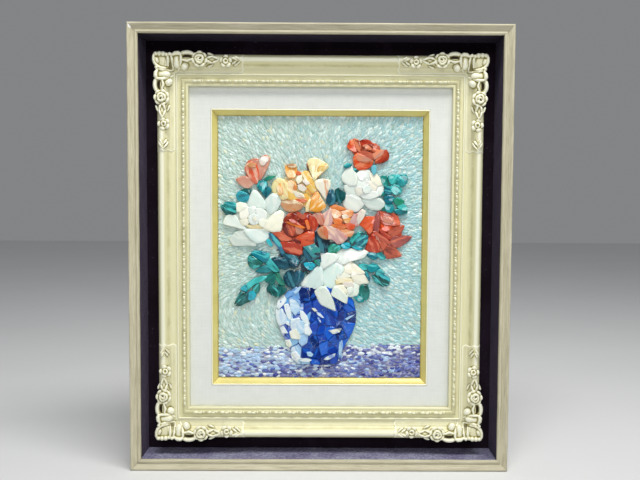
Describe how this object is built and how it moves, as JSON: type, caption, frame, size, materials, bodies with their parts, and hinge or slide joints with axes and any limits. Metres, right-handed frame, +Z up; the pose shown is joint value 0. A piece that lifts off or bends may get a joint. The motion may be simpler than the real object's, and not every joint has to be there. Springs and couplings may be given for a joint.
{
  "type": "gemstone picture",
  "caption": "Relief picture of roses in a jar, laid in cut stones, in a gilded frame with cast corners, set in a deep velvet-lined wooden outer frame.",
  "frame": {"origin": "centre of the back, on the wall plane: the middle of the flat back of the back panel", "axes": "+Z up the picture, +X to the right as seen from the front, +Y into the wall, so the picture faces -Y"},
  "size_m": [0.56, 0.068, 0.656],
  "materials": {
    "weathered_wood": "weathered taupe paint over wood grain, satin",
    "velvet": "dark aubergine velvet",
    "plywood": "plain plywood",
    "pale_gilding": "pale antique gilding with olive toning in the hollows",
    "gilded_casting": "cast composition, pale antique gilding",
    "linen": "off-white linen over a wooden liner",
    "gold_slip": "bright gold leaf, satin",
    "board": "primed board",
    "aqua_chips": "crushed pale green and white stone",
    "amethyst_chips": "crushed amethyst and white quartz",
    "lapis": "polished lapis",
    "pale_lapis": "polished white and blue stone",
    "shell_white": "polished white jade",
    "red_jasper": "polished red jasper",
    "carnelian": "polished carnelian",
    "coral": "polished orange and pink stone",
    "amber": "polished honey-coloured stone",
    "malachite": "polished teal green stone",
    "dark_stone": "polished dark green stone"
  },
  "bodies": {
    "root": {"outer_rail_top": "weathered_wood", "outer_rail_bottom": "weathered_wood", "outer_rail_left": "weathered_wood", "outer_rail_right": "weathered_wood", "velvet_side_top": "velvet", "velvet_side_bottom": "velvet", "velvet_side_left": "velvet", "velvet_side_right": "velvet", "velvet_ground": "velvet", "back_panel": "plywood", "gilded_frame": "pale_gilding", "corner_ornament_top_left": "gilded_casting", "corner_ornament_top_right": "gilded_casting", "corner_ornament_bottom_left": "gilded_casting", "corner_ornament_bottom_right": "gilded_casting", "linen_mat": "linen", "gold_slip_top": "gold_slip", "gold_slip_bottom": "gold_slip", "gold_slip_left": "gold_slip", "gold_slip_right": "gold_slip", "picture_board": "board", "background_stones": "aqua_chips", "table_stones": "amethyst_chips", "jar_lapis": "lapis", "jar_pale_stones": "pale_lapis", "carnelian_rose_top": "carnelian", "carnelian_bud": "coral", "amber_rose": "amber", "amber_petal": "amber", "white_rose_right": "shell_white", "white_rose_left": "shell_white", "white_rose_low": "shell_white", "red_rose_middle": "red_jasper", "red_rose_right": "red_jasper", "coral_rose": "coral", "leaf_by_bud": "malachite", "leaf_upper_left": "malachite", "leaf_far_left": "malachite", "leaves_right": "malachite", "leaves_under_carnelian": "malachite", "leaves_centre_right": "malachite", "leaf_under_red": "malachite", "leaves_lower_right": "malachite", "leaf_right_of_jar": "malachite", "leaves_lower_left": "malachite", "leaf_left_of_jar": "malachite", "dark_leaves_top": "dark_stone", "dark_leaves_left": "dark_stone", "leaves_middle": "dark_stone"}
  },
  "joints": []
}
